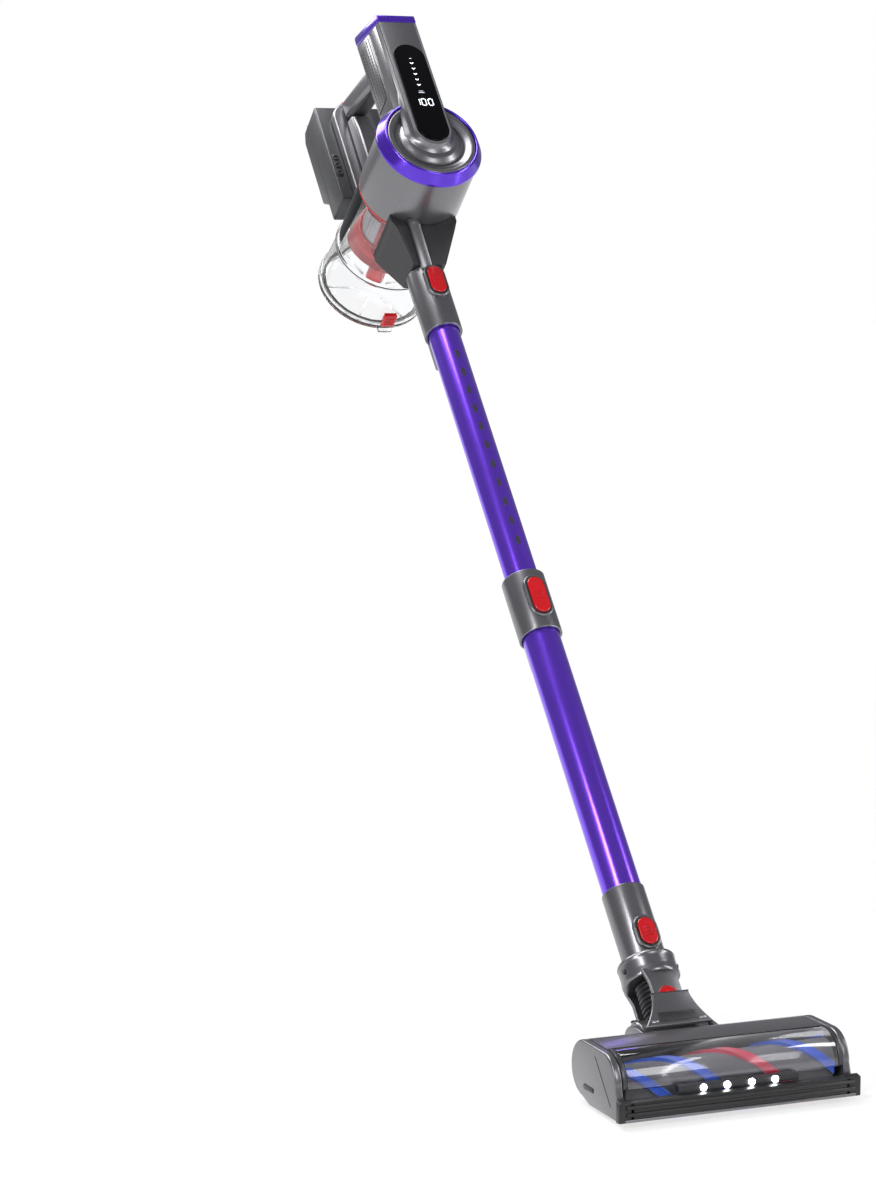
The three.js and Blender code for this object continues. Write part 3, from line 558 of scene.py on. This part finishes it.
def vent(side, node):
    """A panel with rows of small holes drawn as dark discs on its face; their darkness is painted shade."""
    panel_x = side * (TOWER["half"] + 0.55)
    plate = block(panel_x - 0.45, panel_x + 0.45, -91.5, -61.5, 90, 186, 0.4, 2)
    piece(node.replace("grille", "panel"), plate, STICK, GUNMETAL, node)
    holes = []
    for row in range(VENT_ROWS):
        for column in range(VENT_COLUMNS):
            dot = bmesh.new()
            bmesh.ops.create_cone(
                dot, cap_ends=True, segments=8, radius1=VENT_HOLE, radius2=VENT_HOLE, depth=0.5
            )
            spot_at = (panel_x + side * 0.25, -86.8 + 6.8 * column, 94.5 + 5.1 * row)
            holes.append(shifted(swung(dot, math.pi / 2), spot_at))
    # The dark discs stand for the open holes: painted shade.
    trim(node.replace("grille", "holes"), together(*holes), STICK, DARK, "hand_unit", "dark_plastic")


NUMBER_HEIGHT = 46.0
STROKE = 0.9


def display():
    """A dark pill with a column of chevrons, a row of numbers and three faint marks."""
    low, high = reach("display_glass", STICK)
    glass = slab(pill(high.x, low.z, high.z, 24), "Y", low.y, high.y, 0.9, 4)
    piece("display_pill", glass, STICK, SCREEN, "display_glass")
    face = low.y

    def bar(x, z, long, wide, turn):
        stroke = block(-long / 2, long / 2, face - 0.12, face + 0.05, -wide / 2, wide / 2)
        return shifted(swung(stroke, turn), (x, 0, z))

    marks = []
    for i in range(5):
        z = 73 + 8.6 * i
        marks += [bar(s * 0.9, z, 2.7, STROKE, math.radians(-40 * s)) for s in (-1, 1)]
    tall, wide = 10.0, 5.2
    for centre, strokes in ((-8.6, "bc"), (-1.0, "abcdef"), (7.4, "abcdef")):
        for key in strokes:
            side = {"b": 1, "c": 1, "e": -1, "f": -1}.get(key)
            if side is None:
                up = tall / 2 if key == "a" else -tall / 2
                marks.append(bar(centre, NUMBER_HEIGHT + up, wide * 0.7, STROKE, 0))
            else:
                up = tall / 4 if key in "bf" else -tall / 4
                across = centre + side * wide / 2
                marks.append(bar(across, NUMBER_HEIGHT + up, tall * 0.4, STROKE, math.pi / 2))
    trim("display_marks", together(*marks), STICK, MARK, "hand_unit", "led_white")
    faint = together(bar(0, 61, 7, 1.0, 0), bar(0, 63.4, 5, 0.7, 0), bar(0, 115, 2.6, 1.1, 0))
    trim("display_faint_marks", faint, STICK, FAINT, "hand_unit", "led_white")


# ------------------------------------------------------------------ handle and battery
def handle():
    bar = [(-60, 148), (49.7, 186), (49.7, 216), (-60, 177)]
    piece("grip_bar", slab(bar, "X", -13, 13, 7.5, 6), STICK, GUNMETAL, "handle_grip", smooth=50)
    cheeks = [slab([(-58, 132), (-54, 127), (-37, 130), (-33, 140), (-33, 164), (-58, 156)], "X",
                   s * 9.4 - 1.6, s * 9.4 + 1.6, 0.8, 2, corner=3) for s in (-1, 1)]
    trim("trigger_guard", together(*cheeks), STICK, DARK, "hand_unit", "dark_plastic")
    lever = [(-54.6, 136), (-50, 131), (-42, 131), (-37, 137), (-36, 156), (-54.6, 156)]
    piece("trigger_lever", slab(lever, "X", -7, 7, 1.2, 3, corner=2), STICK, RED, "trigger")
    post = [(26, 80), (49.7, 80), (49.7, 185.4), (30, 178), (26, 150)]
    knob = turned([(0, -14), (8, -14), (11, -11), (11, 11), (8, 14), (0, 14)], "X", 48, 2.0, centre=(26, 93))
    piece("post_shell", together(slab(post, "X", -12, 12, 4.5, 4), knob), STICK, GUNMETAL, "handle_post",
          smooth=50)
    low, high = reach("handle_strut", STICK)
    rail = [(low.y, low.z), (high.y, low.z), (high.y, high.z), (16, high.z), (-20, 75), (low.y, 73)]
    piece("strut_rail", slab(rail, "X", low.x, high.x, 2.4, 3), STICK, GUNMETAL, "handle_strut")


GAUGE_PITCH = 12
CHARGE_PORT = (84, 176)


def battery():
    low, high = reach("battery_dock", STICK)
    half, front, back = high.x, low.y, 61.4
    plate = arc(0, high.z - half, half, 0, 180, 24) + arc(-half + 6, low.z + 6, 6, 180, 270, 6)
    plate += arc(half - 6, low.z + 6, 6, 270, 360, 6)
    dock = together(slab(plate, "Y", front, back, 2.6, 4),
                    block(-16, 16, front + 1, high.y, low.z, low.z + 7.2, 1.6))
    piece("dock_plate", dock, STICK, GUNMETAL, "battery_dock")
    low, high = reach("battery_button", STICK)
    key = block(low.x, high.x, low.y, high.y, low.z, high.z, 1.6, 4)
    piece("battery_key", key, STICK, RED, "battery_button")
    low, high = reach("battery_case", STICK)
    step, back = high.y - 14, high.y
    case = [(low.y, low.z), (step, low.z), (step, 96), (back, 110), (back, high.z - 12), (back - 8, high.z),
            (low.y, high.z)]
    piece("battery_shell", slab(case, "X", low.x, high.x, 2.2, 4), STICK, CHARCOAL, "battery_case")
    seam = slab(box(back - 21, back - 20.2, low.z - 0.06, high.z + 0.06), "X", low.x - 0.08, high.x + 0.08)
    trim("battery_seam", seam, STICK, DARK, "battery", "dark_plastic")
    face = reach("battery_gauge", STICK)
    middle = (face[0].x + face[1].x) / 2
    strip = slab(eased(box(middle - 4.5, middle + 4.5, face[0].z, face[1].z), 4), "Y", low.y - 0.6,
                 low.y + 0.4, 0.3, 2)
    ring = box(2.2, 3.8, low.y - 1.6, low.y - 0.2)
    rings = [turned(ring, "Y", 32, 0.4, centre=(middle, 112 + GAUGE_PITCH * i)) for i in range(3)]
    piece("gauge_strip", together(strip, *rings), STICK, DARK, "battery_gauge")
    port = turned(box(2.2, 4.6, high.x - 0.4, high.x + 0.9), "X", 40, 0.4, centre=CHARGE_PORT)
    # The ring is the port's own dark plastic; the dark disc inside it stands for the opening, painted shade.
    hole = turned(box(0, 2.4, high.x - 0.2, high.x + 0.2), "X", 32, centre=CHARGE_PORT)
    trim("charge_ring", together(port, hole), STICK, DARK, "battery", "dark_plastic")


# ------------------------------------------------------------------ inlet, wand and collars
def funnel():
    """The dark throat under the barrel, whose top follows the barrel's round."""
    low, high = reach("inlet_funnel", STICK)
    mouth, half, saddle, steps = low.z, high.x, 61.5, 32
    rings = []
    for i in range(steps + 1):
        x = half * (-0.995 + 1.99 * i / steps)
        lift = max(0.0, abs(x) - 20) / (half - 20)
        top = -math.sqrt(saddle**2 - x**2)
        bottom = min(top - 1.0, mouth + 51 * lift)
        front = -21 - 19 * min(1.0, (bottom - mouth) / 39)
        rear = 21 + 9 * min(1.0, (bottom - mouth) / 43)
        shoulder = max(bottom + 0.2, -66.0)
        heel = max(bottom + 0.4, -62.0)
        crown = max(top, heel + 0.2)
        outline = [(front, bottom), (rear, bottom), (30, heel), (30, crown), (10, crown), (-20, crown),
                   (-40, crown), (-40, min(shoulder, crown - 0.1))]
        rings.append([(x, y, z) for y, z in outline])
    piece("inlet_throat", loft(rings), STICK, DARK, "inlet_funnel", smooth=40)


def button(name, node, place, deep):
    """A red pill with a domed edge and three grip ridges."""
    low, high = reach(node, place)
    pad = slab(pill(high.x, low.z, high.z, 20), "Y", low.y, low.y + deep, 1.1, 5)
    middle = (low.z + high.z) / 2
    ridges = [block(-4.5, 4.5, low.y - 0.45, low.y + 0.4, middle + s * 4 - 0.6, middle + s * 4 + 0.6, 0.3, 2)
              for s in (-1, 0, 1)]
    piece(name, together(pad, *ridges), place, RED, node)


def collar(name, node, profile, place, key, spine, extra=()):
    """A lock collar: sleeve, raised pad with a sunk well and its border, and the latch spine behind."""
    start, end = key
    pad = recess(slab(pill(13, start - 4, end + 4, 20), "Y", -25.2, -18.9, 1.2, 3), "Y", -1, 1.3, 5.5)
    rear = slab(eased([(-9, spine[0]), (9, spine[0]), (9, spine[1] - 6), (5, spine[1]), (-5, spine[1]),
                       (-9, spine[1] - 6)], 3), "Y", 20.6, 29, 1.6, 3)
    sleeve = turned(profile, "Z", 96, 1.0)
    piece(name, together(sleeve, pad, rear, *extra), place, GUNMETAL, node)
    outer, inner = [pill(half, start - half + 9.4, end + half - 9.4, 20) for half in (10.9, 9.8)]
    border = gasket(outer, inner, "Y", -25.5, -21.5)
    trim(name + "_border", border, place, DARK, BODY_OF[node], "dark_plastic")


def inlet():
    profile = [(22.5, -193), (22.5, -105.4), (14, -105.4), (14, -140), (18.7, -140), (18.7, -193)]
    levels = [(-11.8, 1.8, -15, -22.6, -112), (-13, 0.4, -21.6, -26, -105.4),
              (-22, -9.6, -40.6, -46.8, -66.5), (-23.4, -11.4, -40.6, -48, -58)]
    rib = loft([[(x, y, z) for x, y in box(left, right, deep, proud)]
                for left, right, deep, proud, z in levels])
    soften(rib, 1.0, 2)
    collar("inlet_socket", "inlet_collar", profile, STICK, (-150, -112), (-222, -116), [rib])
    button("inlet_key", "inlet_button", STICK, 2.4)


TUBE_WALL = 1.8
MARK_PITCH = 26


def tube(name, node):
    """A bare tube; its outer radius is handed back."""
    low, high = reach(node, WAND)
    skin = box(high.x - TUBE_WALL, high.x, low.z, high.z)
    piece(name, turned(skin, "Z", 96, 0.4), WAND, TUBE, node)
    return high.x


def wand():
    radius = tube("upper_tube_skin", "upper_tube")
    dashes = []
    for i in range(11):
        z = 590 + MARK_PITCH * i
        dash = box(-2.2, 2.2, z, z + 11)
        dashes.append(slab(dash, "Y", -radius - 0.12, -radius + 0.6, 0.1, 1, corner=1.2))
    trim("length_marks", together(*dashes), WAND, CHARCOAL, "hand_unit", "dark_plastic")
    tube("lower_tube_skin", "lower_tube")
    mid = [(24, 478), (24, 553), (18.7, 553), (18.7, 490.4), (20.9, 490.4), (20.9, 478)]
    collar("length_lock", "mid_collar", mid, WAND, (495, 540), (452, 548))
    button("length_key", "mid_button", WAND, 6.0)
    bottom = [(22.5, 86.4), (22.5, 165), (20.9, 165), (20.9, 127.6), (14, 127.6), (14, 66.8), (20.2, 66.8),
              (20.2, 86.4)]
    collar("head_lock", "bottom_collar", bottom, WAND, (92, 122), (92, 142))
    button("head_key", "bottom_button", WAND, 2.4)


# ------------------------------------------------------------------ neck
SWIVEL_HEIGHT = 34
WHEEL_CENTRE = (96, 21)
WHEEL_SIDE = 52


def neck():
    cup = [(29.6, 61), (30.4, 64), (29.6, 70), (29.6, 80), (30.4, 83), (28.4, 86), (20.6, 86), (20.6, 66.4),
           (15, 66.4), (15, 61)]
    tongue = arc(0, SWIVEL_HEIGHT, 16, 180, 360, 24) + [(16, 50), (20.5, 66), (-20.5, 66), (-16, 50)]
    tongues = [slab(tongue, "Y", s * 24.4 - 2.4, s * 24.4 + 2.4, 1.0, 3) for s in (-1, 1)]
    piece("socket_shell", together(turned(cup, "Z", 96, 1.2), *tongues), WAND, GUNMETAL, "neck_socket")
    pin = rod("X", 3.0, 27.6, 30.4, -6, 74, 0.6, 24)
    trim("socket_pin", together(mirrored(pin), pin), WAND, DARK, "lower_wand", "dark_plastic")
    disc = [(0, -22.2), (10.6, -22.2), (10.6, -27.2), (4, -27.2), (4, -30.6), (0, -30.6)]
    hub = turned(disc, "Y", 64, 0.6, centre=(0, SWIVEL_HEIGHT))
    piece("hub_disc", hub, WAND, RED, "swivel_hub")
    ribs = []
    for i in range(8):
        z = 20.6 + 5.05 * i
        ribs += [(15.8, z), (18.2, z + 1.3), (18.2, z + 3.0), (15.8, z + 4.3)]
    hose = turned([(14.4, 20.6), *ribs, (15.8, 61), (14.4, 61)], "Z", 72, 0.5)
    piece("corrugated_hose", hose, WAND, RUBBER, "neck_hose", smooth=60)


def horn_outline():
    """The yoke plate from the front, wide at the foot and narrow at the top."""
    side = [(20 + 17 * (1 - i / 12) ** 1.7, 36.0 * i / 12) for i in range(13)]
    return side + [(-x, z) for x, z in reversed(side)]


def yoke():
    barrel = turned([(0, -37), (18.4, -37), (20, -35.4), (20, 35.4), (18.4, 37), (0, 37)], "X", 80, 0.6)
    plates = [slab(horn_outline(), "Y", s * 29.2 - 1.8, s * 29.2 + 1.8, 1.0, 3) for s in (-1, 1)]
    base = block(-22, 22, -31, 31, 2, 16, 1.6)
    piece("yoke_shell", together(barrel, base, *plates), WAND, GUNMETAL, "swivel_yoke")
    lip = [block(-20.4, 20.4, s * 29.2 - 2, s * 29.2 + 2, 34.6, 36.2, 0.6, 2) for s in (-1, 1)]
    trim("yoke_lips", together(*lip), WAND, DARK, "yoke", "dark_plastic")
    piece("axle_rod", rod("X", 5, -44, 44), WAND, STEEL, "pitch_axle")
    slots = [block(s * 26 - 3.4, s * 26 + 3.4, -31.5, -30.8, 4, 6.2, 0.3, 2) for s in (-1, 1)]
    trim("yoke_slots", together(*slots), WAND, STEEL, "yoke", "steel")
    side = [(70.3, 12), (96, 9), (116, 20), (126, 36), (118, 50), (100, 54), (70.3, 50)]
    cheek = slab(side, "X", 37.6, 42.5, 1.2, 3, corner=9)
    wall = block(-42.5, 42.5, 70.3, 74, 12, 50, 0.8)
    stub = rod("X", 4, 42, 61, *WHEEL_CENTRE)
    piece("cradle_cheeks", together(mirrored(cheek), cheek, wall, mirrored(stub), stub), HEAD, GUNMETAL,
          "neck_cradle")
    wheel(-WHEEL_SIDE, "rear_wheel_left")
    wheel(WHEEL_SIDE, "rear_wheel_right")


def wheel(x, node):
    tread = [(9, 6), (15, 6.2), (16, 7), (19.6, 7), (21, 5.6)]
    tyre = [(r, x - half) for r, half in tread] + [(r, x + half) for r, half in reversed(tread)]
    hub = box(4.3, 9, x - 5.5, x + 5.5)
    shells = [turned(tyre, "X", 80, 0.7, centre=WHEEL_CENTRE),
              turned(hub, "X", 48, 0.6, centre=WHEEL_CENTRE)]
    piece(node.replace("rear_wheel", "wheel_tyre"), together(*shells), HEAD, RUBBER, node)


# ------------------------------------------------------------------ floor head
REAR_ROUND = (42, 35.5)
WINDOW_ROUND = (0, 34)
LENS_HALF = 112


def cap_outline():
    """An end cap from the side."""
    points = [(-33, 3), (28, 3), (44, 8)] + arc(*REAR_ROUND, 27.5, -84, 90, 20)
    return points + arc(*WINDOW_ROUND, 29, 90, 180, 16) + [(-33, 22)]


def head():
    high = reach("end_cap_right", HEAD)[1]
    for side, node in ((-1, "end_cap_left"), (1, "end_cap_right")):
        cover = slab(cap_outline(), "X", 117, high.x, 2.0, 4)
        line = slab([(-20, 14), (-18.6, 14), (16, 54), (14.6, 54)], "X", high.x - 0.3, high.x + 0.25)
        key = slab(eased(box(18, 40, 17, 22), 2.4), "X", high.x - 0.3, high.x + 0.6, 0.3, 2)
        if side < 0:
            cover, line, key = mirrored(cover), mirrored(line), mirrored(key)
        piece(node + "_cover", cover, HEAD, GUNMETAL, node)
        trim(node + "_marks", together(line, key), HEAD, DARK, "head", "dark_plastic")
    half = reach("head_housing", HEAD)[1].x
    skin = [(5.6, 63)] + arc(*REAR_ROUND, 27.5, 90, -90, 24) + [(30.6, 8), (30.6, 10.8)]
    skin += arc(*REAR_ROUND, 24.7, -90, 90, 24) + [(5.6, 60)]
    wall = block(-half, half, 30.6, 33.2, 10, 61)
    shells = together(slab(skin, "X", -half, half, 0.5, 2), wall)
    piece("rear_housing", shells, HEAD, GUNMETAL, "head_housing")
    seam = block(-half + 0.5, half - 0.5, 5.0, 5.7, 59.8, 63.1)
    trim("window_seam", seam, HEAD, DARK, "head", "dark_plastic")
    band = arc(*WINDOW_ROUND, 29, 80, 186, 32) + arc(*WINDOW_ROUND, 27, 186, 80, 32)
    piece("window_lens", slab(band, "X", -LENS_HALF, LENS_HALF, 0.4, 2), HEAD, SMOKE, "head_window")
    edge = arc(*WINDOW_ROUND, 29.3, 78, 184, 24) + arc(*WINDOW_ROUND, 26.6, 184, 78, 24)
    frames = [slab(edge, "X", x - 2.1, x + 2.1, 0.4, 2) for x in (-LENS_HALF - 2.6, LENS_HALF + 2.6)]
    trim("window_frames", together(*frames), HEAD, CHARCOAL, "head", "dark_plastic")
    bumper()
    lamps()
    roller()


def bumper():
    outline = [(-45, 5), (-37, 4), (-33.4, 8), (-33.4, 21), (-38, 25.4), (-45, 24)]
    tip = [(-45, 5), (-37, 4), (-37, 25.2), (-38, 25.4), (-45, 24)]
    bar = slab(outline, "X", -116.6, 116.6, 0.8, 2)
    tips = [slab(tip, "X", 112, 128, 1.6, 3)]
    tips.append(mirrored(tips[0]))
    rolls = [slab(arc(-44.4, z, 2.2, 0, 340, 16), "X", -121, 121, 0.6, 2) for z in (12.6, 19.4)]
    piece("bumper_strip", together(bar, *tips, *rolls), HEAD, RUBBER, "front_bumper")
    lip = block(-122, 122, -46, -43, 5.2, 8.2, 0.9)
    trim("bumper_lip", lip, HEAD, GUNMETAL, "head", "gunmetal_plastic")


LAMP_PLACES = (-38, -13, 13, 38)


def lamps():
    holder = block(-64, 64, -38.8, -31, 25.8, 33, 0.8)
    trim("lamp_holder", holder, HEAD, DARK, "head", "dark_plastic")
    dome = [(0, -41), (2.2, -40.8), (3.2, -39.8), (3.2, -38.4), (0, -38.4)]
    lenses = [turned(dome, "Y", 32, centre=(x, 29.2)) for x in LAMP_PLACES]
    piece("lamp_lenses", together(*lenses), HEAD, GLOW, "led_bar")


def roller():
    low, high = reach("roller_sleeve", HEAD)
    axis = ROLLER_HEIGHT / MM
    sleeve = box(high.y - 5.7, high.y, low.x, high.x)
    piece("plush_sleeve", turned(sleeve, "X", 96, 1.2, centre=(0, axis)), HEAD, PLUSH, "roller_sleeve")
    looks = [("roller_strip_red", CRIMSON), ("roller_strip_blue_a", BLUE), ("roller_strip_blue_b", BLUE)]
    inner, outer, turn, steps = high.y - 0.6, high.y + 3.4, 190.0, 60
    span = high.x - low.x - 2
    for third, (node, look) in enumerate(looks):
        bm = bmesh.new()
        start = third * 2 * math.pi / 3 - 2 * math.pi * span / 2 / turn
        corners = []
        for r, swing in ((inner, -6.6), (outer, -5.6), (outer, 5.6), (inner, 6.6)):
            angle = start - swing / outer
            corners.append(bm.verts.new((low.x + 1, -r * math.sin(angle), r * math.cos(angle))))
        face = bm.faces.new(corners)
        bmesh.ops.spin(
            bm, geom=[face], cent=(0, 0, 0), axis=AXIS["X"], dvec=(span / steps, 0, 0),
            angle=2 * math.pi * span / turn, steps=steps,
        )
        bmesh.ops.holes_fill(bm, edges=bm.edges[:], sides=0)
        strip = tidy(shifted(bm, (0, 0, axis)))
        piece(node.replace("roller_strip", "bristle_strip"), strip, HEAD, look, node)


# ------------------------------------------------------------------ stage
FLOOR_NEAR = 0.66
FLOOR_FAR = 0.9
WORLD_DIM = 0.26
LAMP_AIM = (0, -0.5, -0.5)
LAMPS = (
    ("key_left", (-2.4, -2.0, 0.9), (0.5, 2.6), 62),
    ("fill_right", (2.7, -1.9, 0.4), (0.5, 2.6), 42),
    ("front_soft", (0.5, -3.4, 0.7), (1.0, 1.4), 22),
    ("rim_back", (-1.4, 2.6, 1.5), (1.4, 2.0), 60),
    ("overhead", (-0.6, 0.5, 2.3), (2.2, 1.6), 85),
)
AZIMUTH = math.radians(-22.17)
ELEVATION = math.radians(6.64)
DISTANCE = 3.0607
FOCAL_LENGTH = 2986.4
FRAME_HEIGHT = 1200
CAMERA_AIM = Vector((-0.1516, -0.5972, -0.5453))


def stage():
    floor = bmesh.new()
    bmesh.ops.create_circle(floor, cap_ends=True, segments=96, radius=30)
    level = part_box("rear_wheel_left")[0].z - 0.0002
    shifted(floor, (0, 0, level))
    mesh = bpy.data.meshes.new("pale_floor")
    floor.to_mesh(mesh)
    floor.free()
    paint = moulded("floor_paint", (0.3, 0.3, 0.305), 0.2, 0.0, 0.0, 500.0, 0.01)
    paint.shader.inputs["Emission Color"].default_value = (1, 1, 1, 1)
    away = paint.node("ShaderNodeVectorMath")
    away.operation = "LENGTH"
    paint.link(paint.place, away.inputs[0])
    rise = paint.node("ShaderNodeMapRange", From_Min=1.2, From_Max=4.5, To_Min=FLOOR_NEAR, To_Max=FLOOR_FAR)
    paint.link(away.outputs["Value"], rise.inputs["Value"])
    paint.link(rise.outputs["Result"], paint.shader.inputs["Emission Strength"])
    mesh.materials.append(paint.material)
    made = bpy.data.objects.new("pale_floor", mesh)
    bpy.context.scene.collection.objects.link(made)


def lamp(name, spot_at, size, watts):
    light = bpy.data.lights.new(name, "AREA")
    light.shape = "RECTANGLE"
    light.size, light.size_y = size
    light.energy = watts
    made = bpy.data.objects.new(name, light)
    made.location = spot_at
    made.rotation_euler = (Vector(LAMP_AIM) - Vector(spot_at)).to_track_quat("-Z", "Y").to_euler()
    bpy.context.scene.collection.objects.link(made)


def lights():
    world = bpy.data.worlds.new("studio")
    world.use_nodes = True
    tree = world.node_tree
    soft = tree.nodes["Background"]
    soft.inputs["Color"].default_value = (0.93, 0.94, 1.0, 1)
    soft.inputs["Strength"].default_value = WORLD_DIM
    bright = tree.nodes.new("ShaderNodeBackground")
    bright.inputs["Color"].default_value = (1, 1, 1, 1)
    bright.inputs["Strength"].default_value = 1.0
    path = tree.nodes.new("ShaderNodeLightPath")
    mix = tree.nodes.new("ShaderNodeMixShader")
    seen = tree.nodes.new("ShaderNodeMath")
    seen.operation = "MAXIMUM"
    tree.links.new(path.outputs["Is Camera Ray"], seen.inputs[0])
    tree.links.new(path.outputs["Is Transmission Ray"], seen.inputs[1])
    tree.links.new(seen.outputs["Value"], mix.inputs["Fac"])
    tree.links.new(soft.outputs["Background"], mix.inputs[1])
    tree.links.new(bright.outputs["Background"], mix.inputs[2])
    tree.links.new(mix.outputs["Shader"], tree.nodes["World Output"].inputs["Surface"])
    bpy.context.scene.world = world
    for name, spot_at, size, watts in LAMPS:
        lamp(name, spot_at, size, watts)


def camera():
    level = math.cos(ELEVATION)
    back = Vector((math.sin(AZIMUTH) * level, -math.cos(AZIMUTH) * level, math.sin(ELEVATION)))
    lens = bpy.data.cameras.new("camera")
    lens.sensor_fit = "VERTICAL"
    lens.sensor_height = 36.0
    lens.lens = FOCAL_LENGTH / FRAME_HEIGHT * lens.sensor_height
    lens.clip_end = 100
    made = bpy.data.objects.new("camera", lens)
    made.location = CAMERA_AIM + back * DISTANCE
    made.rotation_euler = (-back).to_track_quat("-Z", "Y").to_euler()
    bpy.context.scene.collection.objects.link(made)
    bpy.context.scene.camera = made


# ------------------------------------------------------------------ assembly
camera()
lights()
stage()
bpy.context.scene.view_settings.view_transform = "Standard"
motor_barrel()
cyclone()
dust_cup()
dust_door()
tower()
display()
handle()
battery()
funnel()
inlet()
wand()
neck()
yoke()
head()
keep(MOTOR, "suction_motor", "brush_motor")
keep(DARK, "impeller", "filter_rim", "sole_plate", "roller_core", "motor_pulley")
keep(PAPER, "filter_pleats")
keep(RUBBER, "door_seal")
keep(BOARD, "main_board")
keep(CELL, "battery_cells")
